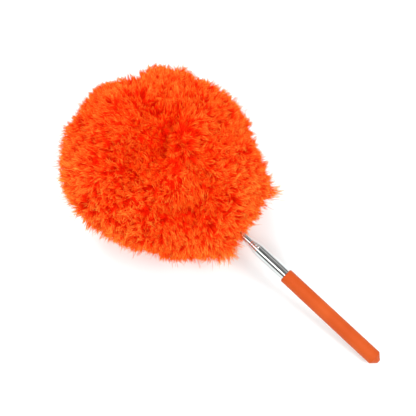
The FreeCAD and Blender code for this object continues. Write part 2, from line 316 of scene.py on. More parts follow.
class NodeMaterial:
    """A new material with a Principled shader and short ways to add nodes to it."""

    def __init__(self, name: str) -> None:
        """Start an empty material.

        Args:
            name: name of the material.
        """
        self.material = bpy.data.materials.new(name)
        self.material.use_nodes = True
        self.tree = self.material.node_tree
        self.shader = self.tree.nodes["Principled BSDF"]
        self.output = self.tree.nodes["Material Output"]

    def add(self, kind: str, **settings: object) -> bpy.types.Node:
        """Add a node.

        Args:
            kind: node type.
            **settings: properties of the node, or its sockets by name with spaces as underscores.

        Returns:
            The new node.
        """
        node = self.tree.nodes.new(kind)
        for key, value in settings.items():
            if hasattr(node, key):
                setattr(node, key, value)
            else:
                node.inputs[key.replace("_", " ")].default_value = value
        return node

    def link(self, start: bpy.types.NodeSocket, end: bpy.types.NodeSocket) -> None:
        """Join an output to an input."""
        self.tree.links.new(start, end)

    def ramp(self, source: bpy.types.NodeSocket, stops: list[tuple[float, Colour]]) -> bpy.types.NodeSocket:
        """Turn a number into a colour.

        Args:
            source: the number's socket.
            stops: positions from 0 to 1 with their colours, lowest first.

        Returns:
            The colour's socket.
        """
        node = self.add("ShaderNodeValToRGB")
        marks = node.color_ramp.elements
        while len(marks) < len(stops):
            marks.new(0.5)
        for mark, (place, colour) in zip(marks, stops):
            mark.position = place
            mark.color = (*colour, 1.0)
        self.link(source, node.inputs["Fac"])
        return node.outputs["Color"]

    def noise(self, scale: float, detail: float, stretch: tuple[float, float, float] = (1, 1, 1),
              turn: tuple[float, float, float] = (0, 0, 0)) -> bpy.types.NodeSocket:
        """Add a noise on the object's coordinates.

        Args:
            scale: noise scale per metre.
            detail: octaves of detail.
            stretch: scale along each axis after the turn.
            turn: rotation of the coordinates.

        Returns:
            The noise's value socket, from 0 to 1.
        """
        place = self.add("ShaderNodeTexCoord")
        mapping = self.add("ShaderNodeMapping", vector_type="POINT", Rotation=turn, Scale=stretch)
        cloud = self.add("ShaderNodeTexNoise", Scale=scale, Detail=detail)
        self.link(place.outputs["Object"], mapping.inputs["Vector"])
        self.link(mapping.outputs["Vector"], cloud.inputs["Vector"])
        return cloud.outputs["Fac"]

    def bump(self, height: bpy.types.NodeSocket, distance: float, strength: float = 1.0) -> None:
        """Raise the surface by a height in the shader's normal.

        Args:
            height: socket of the height, from 0 to 1.
            distance: depth in metres that 1 stands for.
            strength: share of the effect.
        """
        node = self.add("ShaderNodeBump", Strength=strength, Distance=distance)
        self.link(height, node.inputs["Height"])
        self.link(node.outputs["Normal"], self.shader.inputs["Normal"])


@dataclass(frozen=True)
class SoftTouchRubber:
    """Matt coated grip: fine pebbled skin with slightly rubbed patches."""

    base: Colour = (0.49, 0.060, 0.002)
    rubbed: Colour = (0.54, 0.078, 0.006)
    roughness: float = 0.6
    patches_per_metre: float = 55.0
    grain_per_metre: float = 2600.0
    grain_depth: float = 0.06 * MM

    def build(self, name: str) -> bpy.types.Material:
        """Return the finish as a material of this name."""
        made = NodeMaterial(name)
        made.shader.inputs["Roughness"].default_value = self.roughness
        made.shader.inputs["Specular IOR Level"].default_value = 0.22
        made.shader.inputs["Sheen Weight"].default_value = 0.12
        made.shader.inputs["Sheen Roughness"].default_value = 0.5
        made.shader.inputs["Sheen Tint"].default_value = (1.0, 0.45, 0.2, 1.0)
        patches = made.noise(self.patches_per_metre, 4.0)
        colour = made.ramp(patches, [(0.35, self.base), (0.70, self.rubbed)])
        made.link(colour, made.shader.inputs["Base Color"])
        made.bump(made.noise(self.grain_per_metre, 3.0), self.grain_depth, 0.6)
        return made.material


@dataclass(frozen=True)
class Metal:
    """Drawn or turned metal: streaks along or across the pole in its colour and gloss."""

    base: Colour
    worn: Colour
    roughness: tuple[float, float]
    streak: tuple[float, float, float]
    tilt: float
    streaks_per_metre: float = 900.0
    depth: float = 0.004 * MM

    def build(self, name: str) -> bpy.types.Material:
        """Return the finish as a material of this name."""
        made = NodeMaterial(name)
        made.shader.inputs["Metallic"].default_value = 1.0
        streaks = made.noise(self.streaks_per_metre, 5.0, self.streak, (0.0, self.tilt, 0.0))
        colour = made.ramp(streaks, [(0.35, self.worn), (0.62, self.base)])
        made.link(colour, made.shader.inputs["Base Color"])
        gloss = made.add("ShaderNodeMapRange")
        gloss.inputs["To Min"].default_value = self.roughness[0]
        gloss.inputs["To Max"].default_value = self.roughness[1]
        made.link(streaks, gloss.inputs["Value"])
        made.link(gloss.outputs["Result"], made.shader.inputs["Roughness"])
        made.bump(streaks, self.depth, 0.5)
        return made.material


@dataclass(frozen=True)
class MouldedPlastic:
    """Injection-moulded plastic with a faint flow pattern."""

    base: Colour
    flow: Colour
    roughness: float
    texture_depth: float = 0.02 * MM

    def build(self, name: str) -> bpy.types.Material:
        """Return the finish as a material of this name."""
        made = NodeMaterial(name)
        made.shader.inputs["Roughness"].default_value = self.roughness
        pattern = made.noise(220.0, 3.0)
        colour = made.ramp(pattern, [(0.3, self.flow), (0.7, self.base)])
        made.link(colour, made.shader.inputs["Base Color"])
        made.bump(made.noise(3000.0, 2.0), self.texture_depth, 0.4)
        return made.material


@dataclass(frozen=True)
class TwistedCord:
    """Core cord: slanting strands with painted shade in the gaps between them."""

    strand: Colour = (0.55, 0.045, 0.006)
    gap_shade: Colour = (0.16, 0.008, 0.002)
    bands_per_metre: float = 150.0
    depth: float = 0.3 * MM

    def build(self, name: str) -> bpy.types.Material:
        """Return the finish as a material of this name."""
        made = NodeMaterial(name)
        made.shader.inputs["Roughness"].default_value = 0.8
        place = made.add("ShaderNodeTexCoord")
        wave = made.add("ShaderNodeTexWave", Scale=self.bands_per_metre, Distortion=1.5, Detail=2.0)
        wave.bands_direction = "DIAGONAL"
        made.link(place.outputs["Object"], wave.inputs["Vector"])
        # Painted shade: the gaps between the strands are darker than the strands.
        colour = made.ramp(wave.outputs["Fac"], [(0.1, self.gap_shade), (0.6, self.strand)])
        made.link(colour, made.shader.inputs["Base Color"])
        made.bump(wave.outputs["Fac"], self.depth, 0.8)
        return made.material


@dataclass(frozen=True)
class DyedFibre:
    """Fine dyed fibre, deep at the root and pale at the tip, with a little light passing through.

    The colour follows only the strand's own map: v runs from root to tip, and u from the deepest to
    the palest strands; u carries painted shade in hollows and painted rim light besides random tone.
    The fibre also glows in its own colour: painted light that lifts its shade.
    """

    deep_root: Colour = (0.86, 0.008, 0.0003)
    deep_body: Colour = (0.90, 0.016, 0.0006)
    deep_tip: Colour = (0.93, 0.135, 0.006)
    pale_root: Colour = (0.92, 0.028, 0.0012)
    pale_body: Colour = (0.94, 0.064, 0.004)
    pale_tip: Colour = (1.0, 0.550, 0.080)
    painted_glow: float = 0.16
    translucency: float = 0.08

    def build(self, name: str) -> bpy.types.Material:
        """Return the finish as a material of this name."""
        made = NodeMaterial(name)
        chart = made.add("ShaderNodeUVMap", uv_map="OFBake")
        split = made.add("ShaderNodeSeparateXYZ")
        made.link(chart.outputs["UV"], split.inputs["Vector"])
        deep = [(0.05, self.deep_root), (0.62, self.deep_body), (1.0, self.deep_tip)]
        pale = [(0.05, self.pale_root), (0.62, self.pale_body), (1.0, self.pale_tip)]
        mix = made.add("ShaderNodeMix", data_type="RGBA")
        made.link(split.outputs["X"], mix.inputs["Factor"])
        made.link(made.ramp(split.outputs["Y"], deep), mix.inputs[6])
        made.link(made.ramp(split.outputs["Y"], pale), mix.inputs[7])
        colour = mix.outputs[2]
        made.link(colour, made.shader.inputs["Base Color"])
        # Painted glow: the fibre emits its own colour, lifting its shade though it is no lamp.
        made.link(colour, made.shader.inputs["Emission Color"])
        made.shader.inputs["Emission Strength"].default_value = self.painted_glow
        made.shader.inputs["Roughness"].default_value = 0.7
        made.shader.inputs["Specular IOR Level"].default_value = 0.05
        through = made.add("ShaderNodeBsdfTranslucent")
        made.link(colour, through.inputs["Color"])
        both = made.add("ShaderNodeMixShader", Fac=self.translucency)
        made.link(made.shader.outputs["BSDF"], both.inputs[1])
        made.link(through.outputs["BSDF"], both.inputs[2])
        made.link(both.outputs["Shader"], made.output.inputs["Surface"])
        return made.material


@dataclass(frozen=True)
class MattedPile:
    """Matted fibre between the strands: mottled deep orange, with a painted glow in its own colour that
    lifts its shade.
    """

    dark: Colour = (0.80, 0.006, 0.0003)
    light: Colour = (0.92, 0.030, 0.0015)
    painted_glow: float = 0.14
    tangle_depth: float = 1.5 * MM

    def build(self, name: str) -> bpy.types.Material:
        """Return the finish as a material of this name."""
        made = NodeMaterial(name)
        made.shader.inputs["Roughness"].default_value = 0.9
        made.shader.inputs["Specular IOR Level"].default_value = 0.05
        tangle = made.noise(900.0, 6.0)
        colour = made.ramp(tangle, [(0.38, self.dark), (0.62, self.light)])
        made.link(colour, made.shader.inputs["Base Color"])
        # Painted glow: the pile emits its own colour, lifting the shade between the strands.
        made.link(colour, made.shader.inputs["Emission Color"])
        made.shader.inputs["Emission Strength"].default_value = self.painted_glow
        made.bump(tangle, self.tangle_depth, 0.8)
        return made.material


# ---------------------------------------------------------------------------
# Grip and pole
# ---------------------------------------------------------------------------


@dataclass
class Grip:
    """Soft sleeve with a coned end; sizes that the CAD gives are read from it."""

    axis: PoleAxis
    end_radius: float = 1.7 * MM
    cone_length: float = 4.1 * MM
    edge_rounding: float = 0.45 * MM
    front_rounding: float = 1.5 * MM

    def build(self) -> bpy.types.Object:
        """Build the sleeve and dress it.

        Returns:
            The finished piece.
        """
        low, high, radius = self.axis.reach("handle_grip")
        _, _, bore = self.axis.reach("pole_tube_1")
        floor = self.axis.reach("base_plug")[0]
        corners = [
            (0.0, low, 0.0),
            (self.end_radius, low, self.edge_rounding),
            (radius, low + self.cone_length, self.edge_rounding),
            (radius, high, self.front_rounding),
            (bore, high, 0.15 * MM),
            (bore, floor, 0.1 * MM),
            (0.0, floor, 0.0),
        ]
        piece = revolved("grip_sleeve", self.axis, rounded_profile(corners, closed=False), closed=False)
        piece.data.materials.append(SoftTouchRubber().build("soft_touch_rubber"))
        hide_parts("handle_grip")
        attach(piece, Body.HANDLE.value)
        return piece


@dataclass
class Pole:
    """Five nested tubes; every tube but the innermost has a rolled-in tip.

    A tip is a cone down to a shallow groove and then a rolled ring round the next tube.
    """

    axis: PoleAxis
    count: int = 5
    wall: float = 0.3 * MM
    lip_length: float = 0.5 * MM
    swage_length: float = 1.2 * MM
    lip_clearance: float = 0.04 * MM
    groove: float = 0.12 * MM
    groove_width: float = 0.35 * MM
    ring_slope: float = 0.08 * MM
    rounding: float = 0.11 * MM

    def build(self) -> list[bpy.types.Object]:
        """Build and dress the tubes.

        Returns:
            The finished pieces, outermost first.
        """
        tilt = math.asin(float(self.axis.along[2]))
        steel = Metal(
            base=(0.69, 0.685, 0.675),
            worn=(0.59, 0.585, 0.575),
            roughness=(0.10, 0.20),
            streak=(0.03, 1.0, 1.0),
            tilt=tilt,
        ).build("polished_steel")
        pieces = []
        for number in range(1, self.count + 1):
            node = f"pole_tube_{number}"
            low, high, radius = self.axis.reach(node)
            inside = radius - self.wall
            if number < self.count:
                lip = self.axis.reach(f"pole_tube_{number + 1}")[2] + self.lip_clearance
                neck = high - self.lip_length
                shoulder = neck - self.swage_length
                ring = lip + self.wall
                corners = [
                    (inside, low, self.rounding),
                    (radius, low, self.rounding),
                    (radius, shoulder, 2 * self.rounding),
                    (ring - self.groove, neck - self.groove_width, 0.6 * self.rounding),
                    (ring - self.groove, neck, 0.6 * self.rounding),
                    (ring, neck + self.ring_slope, self.rounding),
                    (ring, high, 1.6 * self.rounding),
                    (lip, high, self.rounding),
                    (lip, neck, self.rounding),
                    (inside, shoulder, self.rounding),
                ]
            else:
                corners = [
                    (inside, low, self.rounding),
                    (radius, low, self.rounding),
                    (radius, high, self.rounding),
                    (inside, high, self.rounding),
                ]
            profile = rounded_profile(corners, closed=True)
            piece = revolved(f"tube_{number}_polished", self.axis, profile, closed=True)
            piece.data.materials.append(steel)
            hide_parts(node)
            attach(piece, frame["nodes"][node]["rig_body"])
            pieces.append(piece)
        return pieces


@dataclass
class Fittings:
    """CAD pieces kept as they are, inside the pole and the head, with finishes of their own."""

    tilt: float

    def dress(self) -> list[str]:
        """Give every kept CAD piece its finish.

        Returns:
            The names of the dressed pieces.
        """
        turned = (1.0, 0.1, 0.1)
        drawn = (1.0, 0.1, 1.0)
        brass = Metal((0.86, 0.62, 0.28), (0.62, 0.42, 0.17), (0.22, 0.34), turned, self.tilt)
        pin = Metal((0.58, 0.58, 0.60), (0.44, 0.44, 0.46), (0.25, 0.40), drawn, self.tilt)
        collar = Metal((0.70, 0.70, 0.72), (0.52, 0.52, 0.55), (0.22, 0.35), turned, self.tilt)
        finishes = {
            Slot.BRASS: brass,
            Slot.PLUG: MouldedPlastic((0.030, 0.030, 0.032), (0.018, 0.018, 0.019), 0.45),
            Slot.SOCKET: MouldedPlastic((0.78, 0.12, 0.016), (0.66, 0.085, 0.010), 0.3),
            Slot.PIN: pin,
            Slot.COLLAR: collar,
            Slot.CORD: TwistedCord(),
        }
        slots = {part["node"]: part["material_slot"] for part in frame["record"]["subparts"]}
        built = {slot.value: finish.build(slot.value + "_finish") for slot, finish in finishes.items()}
        dressed = []
        for node, thing in frame["nodes"].items():
            if slots[node] not in built:
                continue
            thing.data.materials.clear()
            thing.data.materials.append(built[slots[node]])
            dressed.append(node)
        return dressed


# ---------------------------------------------------------------------------
# Head
# ---------------------------------------------------------------------------


@dataclass(frozen=True)
class Swell:
    """A bulge or a dimple in the head's surface.

    Attributes:
        polar: angle from the head's far end, in degrees.
        turn: angle about the pole from straight up towards +Y, in degrees.
        height: how far the surface rises there, in metres; a dimple is negative.
        spread: how wide it is, in degrees.
    """

    polar: float
    turn: float
    height: float
    spread: float

    def direction(self) -> Array:
        """Return its unit direction as along, up and side shares."""
        polar, turn = math.radians(self.polar), math.radians(self.turn)
        across = math.sin(polar)
        return np.array([math.cos(polar), across * math.cos(turn), across * math.sin(turn)])


@dataclass
class HeadForm:
    """Outer surface of the head, as a distance from its centre for each direction.

    Directions are unit vectors of shares along the pole, up and to +Y.
    """

    axis: PoleAxis
    centre: Array
    half_length: float
    half_height: float
    half_width: float
    swells: list[Swell] = field(default_factory=list)
    plume_count: int = 8
    valley_depth: float = 2.5 * MM
    lump_height: float = 1.6 * MM

    def basis(self) -> Array:
        """Return the rows along, up and +Y as world directions."""
        return np.array([self.axis.along, self.axis.up, [0.0, 1.0, 0.0]])

    def ellipsoid(self, shares: Array) -> Array:
        """Distance to the plain ellipsoid: one over the length of shares over half sizes."""
        half = np.array([self.half_length, self.half_height, self.half_width])
        return 1 / np.sqrt(((shares / half) ** 2).sum(-1))

    def radius(self, shares: Array) -> Array:
        """Distance from the centre to the surface.

        It is the ellipsoid's radius, plus a Gaussian for each swell, plus low lumps from a few
        crossed sine waves, less a shallow valley where two plumes meet.

        Args:
            shares: (n, 3) unit directions.

        Returns:
            (n,) distances in metres.
        """
        base = self.ellipsoid(shares)
        for swell in self.swells:
            nearness = np.clip(shares @ swell.direction(), -1, 1)
            away = np.degrees(np.arccos(nearness))
            base = base + swell.height * np.exp(-((away / swell.spread) ** 2))
        a, b, c = shares[..., 0], shares[..., 1], shares[..., 2]
        lumps = np.sin(9.1 * a + 5.3 * c + 0.7) * np.sin(8.3 * b - 6.1 * a + 1.9)
        lumps += 0.7 * np.sin(14.7 * c + 11.3 * b + 2.6) * np.sin(13.1 * a - 9.7 * c + 0.4)
        turn = np.arctan2(c, b)
        ripple = 0.16 * np.sin(5 * a + 2.0 * b)
        valley = np.exp(-((np.sin((turn + ripple) * self.plume_count / 2) / 0.28) ** 2))
        around = np.sqrt(np.clip(1 - a * a, 0, 1))
        return base + self.lump_height * lumps - self.valley_depth * valley * around

    def relief(self, shares: Array) -> Array:
        """Height of the surface over the plain ellipsoid, in metres."""
        return self.radius(shares) - self.ellipsoid(shares)

    @staticmethod
    def flow(shares: Array) -> Array:
        """Slow swirl that neighbouring tufts share: a sine of crossed directions on each axis."""
        a, b, c = shares[..., 0], shares[..., 1], shares[..., 2]
        along = np.sin(7.3 * a + 3.9 * c + 1.3)
        upward = np.sin(6.1 * b - 5.7 * a + 4.1)
        sideways = np.sin(8.2 * c + 4.4 * b + 2.2)
        return np.stack([along, upward, sideways], axis=-1)

    def point(self, shares: Array, depth: Array | float = 0.0) -> Array:
        """Return world points on the surface, or a depth inside it."""
        return self.centre + (self.radius(shares) - depth)[..., None] * (shares @ self.basis())

    def normal(self, shares: Array) -> Array:
        """Outward normals from the cross product of two small steps over the surface.

        Args:
            shares: (n, 3) unit directions.

        Returns:
            (n, 3) unit world vectors.
        """
        step = 0.02
        helper = np.where(np.abs(shares[:, :1]) < 0.9, [[1.0, 0, 0]], [[0, 1.0, 0]])
        first = unit(np.cross(shares, helper))
        second = np.cross(shares, first)
        here = self.point(shares)
        one = self.point(unit(shares + step * first)) - here
        two = self.point(unit(shares + step * second)) - here
        normal = unit(np.cross(one, two))
        facing = np.sign((normal * (shares @ self.basis())).sum(-1, keepdims=True))
        return normal * facing


@dataclass(frozen=True)
class Wisp:
    """Longer, looser tufts in one place.

    Attributes:
        polar: angle from the head's far end, in degrees.
        turn: angle about the pole from straight up towards +Y, in degrees.
        stretch: how many times longer than the other tufts.
        tufts: how many tufts.
        spread: how far they scatter, in degrees.
    """

    polar: float
    turn: float
    stretch: float
    tufts: int
    spread: float


@dataclass
class Plume:
    """One plume: matted pile in its sector of the head, covered by tufts of tapered strands.

    Attributes:
        form: the head's outer form.
        number: which plume it is, from 1.
        middle: angle about the pole of its sector's middle, in radians.
        spread: width of its sector, in radians.
        tufts: how many tufts it has, besides those of its wisps.
        strands_per_tuft: how many strands a tuft has.
        root_depth: depth of the tufts' roots under the outer form.
        pile_depth: depth of the pile's surface under the outer form.
        pile_overlap: width of the pile's sector against the plume's own.
        tuft_length: shortest and longest tuft.
        tuft_spread: radius of a tuft at its root.
        pointedness: share of that radius that the strands close up by at their tips.
        uprightness: share of the line from the head's centre, against the surface's normal, in
            the direction that a tuft leaves in.
        lean: how far tufts lean away from the crown, as a share of their length.
        calm: angle round the crown where the lean fades out, as a share of half a turn.
        swirl: how far they follow the shared swirl.
        waywardness: how far they stray at random.
        loose_share: share of strands that stand out of their tuft.
        hollow_shade_range: height over the ellipsoid that turns the deepest shade into the palest; painted
            shade, deeper in hollows and paler on rises.
        relief_stretch: height over the ellipsoid that doubles a tuft's length.
        shade: the crown's shade, and how much it rises with the square of the angle from the
            crown, again as a share of half a turn; painted rim light, paler towards the rim.
        shade_scatter: how much shades stray from tuft to tuft, and from strand to strand.
        wisp_shade: how much paler a wisp is.
        strand_radius: thickest radius of a usual strand.
        floor_gap: lowest height of a strand over the table.
        floor_scatter: how much higher other strands end that lie on the table.
        wisps: longer tufts in single places.
    """

    form: HeadForm
    number: int
    middle: float
    spread: float
    tufts: int = 1150
    strands_per_tuft: int = 10
    root_depth: float = 9.2 * MM
    pile_depth: float = 7.6 * MM
    pile_overlap: float = 1.01
    tuft_length: tuple[float, float] = (8.2 * MM, 12.8 * MM)
    tuft_spread: float = 1.9 * MM
    pointedness: float = 0.35
    uprightness: float = 0.65
    lean: float = 0.30
    calm: float = 0.06
    swirl: float = 0.35
    waywardness: float = 0.42
    loose_share: float = 0.05
    hollow_shade_range: float = 16.0 * MM
    relief_stretch: float = 20.0 * MM
    shade: tuple[float, float] = (0.10, 1.6)
    shade_scatter: tuple[float, float] = (0.15, 0.20)
    wisp_shade: float = 0.5
    strand_radius: float = 0.22 * MM
    floor_gap: float = 0.4 * MM
    floor_scatter: float = 0.3 * MM
    wisps: tuple[Wisp, ...] = ()

    def random(self) -> np.random.Generator:
        """Return this plume's own seeded generator."""
        return np.random.default_rng(SEED + self.number)

    def pile(self, rows: int = 40, columns: int = 22) -> bpy.types.Object:
        """Build the matted pile as a closed lobe.

        For a polar angle p and a loop angle q the lobe's point lies at turn = middle + half the
        spread times a rounded sine of q, and at a share of the surface's radius between an inner
        and an outer one by a rounded cosine of q.  The shares close up at both poles.

        Args:
            rows: number of rings between the poles.
            columns: number of points round each ring.

        Returns:
            The finished piece.
        """
        polar = np.linspace(0.06, math.pi - 0.10, rows)[:, None]
        loop = (np.arange(columns) * 2 * math.pi / columns)[None]
        rounded_cos = np.sign(np.cos(loop)) * np.abs(np.cos(loop)) ** 0.6
        rounded_sin = np.sign(np.sin(loop)) * np.abs(np.sin(loop)) ** 0.6
        turn = self.middle + 0.5 * self.spread * self.pile_overlap * rounded_sin
        shares = np.stack(
            [
                np.cos(polar) + 0 * turn,
                np.sin(polar) * np.cos(turn),
                np.sin(polar) * np.sin(turn),
            ],
            axis=-1,
        )
        outer = self.form.radius(shares) - self.pile_depth
        thickness = outer * 0.6 * np.sin(polar) ** 0.6
        distance = outer - thickness * (0.5 - 0.5 * rounded_cos)
        points = self.form.centre + distance[..., None] * (shares @ self.form.basis())
        ends = points[[0, -1]].mean(axis=1)
        points = np.concatenate([points.reshape(-1, 3), ends])
        points[:, 2] = np.maximum(points[:, 2], self.floor_gap * 4)
        faces = ring_faces(rows, columns, closed=False)
        return new_mesh_object(f"plume_{self.number}_pile", points, faces)

    def directions(self, count: int, rng: np.random.Generator) -> Array:
        """Scatter directions evenly over this plume's share of the surface.

        Uniform directions in the sector are kept with a chance in proportion to the area of
        surface that each stands for, which is the radius squared over the slant.

        Args:
            count: how many directions.
            rng: the random generator.

        Returns:
            (count, 3) unit directions.
        """
        tries = count * 5
        height = rng.uniform(-0.985, 1.0, tries)
        turn = self.middle + self.spread * rng.uniform(-0.5, 0.5, tries)
        around = np.sqrt(1 - height**2)
        shares = np.stack([height, around * np.cos(turn), around * np.sin(turn)], axis=-1)
        radius = self.form.radius(shares)
        slant = (self.form.normal(shares) * (shares @ self.form.basis())).sum(-1)
        area = radius**2 / np.clip(slant, 0.35, 1.0)
        kept = rng.uniform(0, np.quantile(area, 0.98), tries) < area
        return shares[kept][:count]

    def strands(self, crown: Array) -> bpy.types.Object:
        """Build the tufts of tapered, closed, three-sided strands.

        A tuft leaves the surface between its normal and the line from the head's centre, leans
        away from the crown and strays at random.  Each strand is a quadratic Bezier curve from
        its own root to a tip near the tuft's tip, and its three-sided ring narrows to a point.
        The shade rises with the square of the angle from the crown, as painted rim light, and with the
        relief, as painted shade in hollows.

        Args:
            crown: unit direction of the point that the tufts lean away from.

        Returns:
            The finished piece.
        """
        rng = self.random()
        shares = self.directions(self.tufts, rng)
        stretch = np.ones(len(shares))
        for wisp in self.wisps:
            middle = Swell(wisp.polar, wisp.turn, 0.0, 0.0).direction()
            scatter = rng.normal(0, math.radians(wisp.spread), (wisp.tufts, 3))
            shares = np.concatenate([shares, unit(middle + scatter)])
            stretch = np.concatenate([stretch, np.full(wisp.tufts, wisp.stretch)])
        tufts = len(shares)
        radial = shares @ self.form.basis()
        normal = unit((1 - self.uprightness) * self.form.normal(shares) + self.uprightness * radial)
        root = self.form.point(shares, self.root_depth)
        from_crown = unit((shares - crown * (shares @ crown)[:, None]) @ self.form.basis())
        flow = self.form.flow(shares) @ self.form.basis()
        stray = rng.normal(0, self.waywardness, (tufts, 3))
        relief = self.form.relief(shares)
        from_middle = np.arccos(np.clip(shares @ crown, -1, 1)) / math.pi
        lean = self.lean * np.clip(from_middle / self.calm, 0, 1)
        heading = unit(normal + lean[:, None] * from_crown + self.swirl * flow + stray)
        near_root = np.clip((-shares[:, 0] - 0.80) / 0.15, 0, 1)
        length = rng.uniform(*self.tuft_length, tufts) * (1 + 0.20 * near_root) * stretch
        length = length * np.clip(1 + relief / self.relief_stretch, 0.45, 1.1)
        # Painted light: paler with the angle from the crown as painted rim light, and deeper in hollows as
        # painted shade.
        shade = self.shade[0] + self.shade[1] * from_middle**2 + relief / self.hollow_shade_range
        shade = shade + self.wisp_shade * (stretch > 1)
        shade = shade + rng.normal(0, self.shade_scatter[0], tufts)

        normal, root, heading, length, shade = (
            np.repeat(values, self.strands_per_tuft, axis=0)
            for values in (normal, root, heading, length, shade)
        )
        count = len(root)
        scatter = rng.normal(0, 1, (count, 3))
        scatter -= normal * (scatter * normal).sum(-1, keepdims=True)
        scatter = unit(scatter) * (self.tuft_spread * np.sqrt(rng.uniform(0, 1, count)))[:, None]
        start = root + scatter
        loose = rng.uniform(0, 1, count) < self.loose_share
        length = length * rng.uniform(0.70, 1.10, count) * np.where(loose, 1.3, 1.0)
        tip = start + heading * length[:, None] - scatter * self.pointedness
        tip += rng.normal(0, 1, (count, 3)) * np.where(loose, 2.4 * MM, 0.6 * MM)[:, None]
        bend = start + normal * (0.5 * length)[:, None] + rng.normal(0, 0.6 * MM, (count, 3))
        radius = self.strand_radius * rng.uniform(0.65, 1.25, count) * np.where(loose, 0.6, 1.0)
        shade = shade + rng.normal(0, self.shade_scatter[1], count)
        return self.strand_mesh(start, bend, tip, radius, shade, rng)

    def strand_mesh(self, start: Array, bend: Array, tip: Array, radius: Array, shade: Array,
                    rng: np.random.Generator) -> bpy.types.Object:
        """Turn Bezier strands into one mesh of closed three-sided needles.

        Args:
            start: (n, 3) roots.
            bend: (n, 3) middle control points.
            tip: (n, 3) tips.
            radius: (n,) thickest radii.
            shade: (n,) shades from 0, deepest, to 1, palest.
            rng: the random generator.

        Returns:
            The piece.
        """
        count = len(start)
        places = np.array([0.0, 0.44, 0.86])
        widths = np.array([0.85, 1.0, 0.85])
        t = places[:, None, None]
        line = (1 - t) ** 2 * start + 2 * t * (1 - t) * bend + t**2 * tip
        line = np.moveaxis(line, 0, 1)
        ahead = unit(tip - start)
        across = unit(np.cross(ahead, rng.normal(0, 1, (count, 3))))
        over = np.cross(ahead, across)
        angle = np.arange(3) * 2 * math.pi / 3
        spoke = np.cos(angle)[:, None] * across[:, None] + np.sin(angle)[:, None] * over[:, None]
        rings = line[:, :, None] + spoke[:, None] * (radius[:, None] * widths)[:, :, None, None]
        points = np.concatenate([rings.reshape(count, 9, 3), tip[:, None]], axis=1)
        lowest = self.floor_gap + self.floor_scatter * rng.uniform(0, 1, (count, 1))
        points[..., 2] = np.maximum(points[..., 2], lowest)
        base = (np.arange(count) * 10)[:, None, None]
        side_quads = np.array(
            [
                [3 * k + i, 3 * k + (i + 1) % 3, 3 * k + 3 + (i + 1) % 3, 3 * k + 3 + i]
                for k in range(2) for i in range(3)
            ]
        )
        end_faces = np.array([[0, 2, 1], [6, 7, 9], [7, 8, 9], [8, 6, 9]])
        quads = (base + side_quads[None]).reshape(-1, 4)
        triangles = (base + end_faces[None]).reshape(-1, 3)
        own = np.clip(shade, 0.01, 0.96)[:, None, None]
        heights = np.concatenate([places, [1.0]])
        column = 0.01
        quad_uv = np.array(
            [
                [[column * i, heights[k]], [column * (i + 1), heights[k]],
                 [column * (i + 1), heights[k + 1]], [column * i, heights[k + 1]]]
                for k in range(2) for i in range(3)
            ]
        )
        end_uv = np.array(
            [
                [[0, 0], [2 * column, 0], [column, 0.01]],
                [[0, heights[2]], [column, heights[2]], [0.5 * column, 1]],
                [[column, heights[2]], [2 * column, heights[2]], [1.5 * column, 1]],
                [[2 * column, heights[2]], [3 * column, heights[2]], [2.5 * column, 1]],
            ]
        )
        shift = np.concatenate([own, np.zeros_like(own)], axis=-1)
        uv = np.concatenate(
            [
                (quad_uv.reshape(1, -1, 2) + shift).reshape(-1, 2),
                (end_uv.reshape(1, -1, 2) + shift).reshape(-1, 2),
            ]
        )
        return new_mesh_object(f"plume_{self.number}_fibres", points.reshape(-1, 3), [quads, triangles], uv)


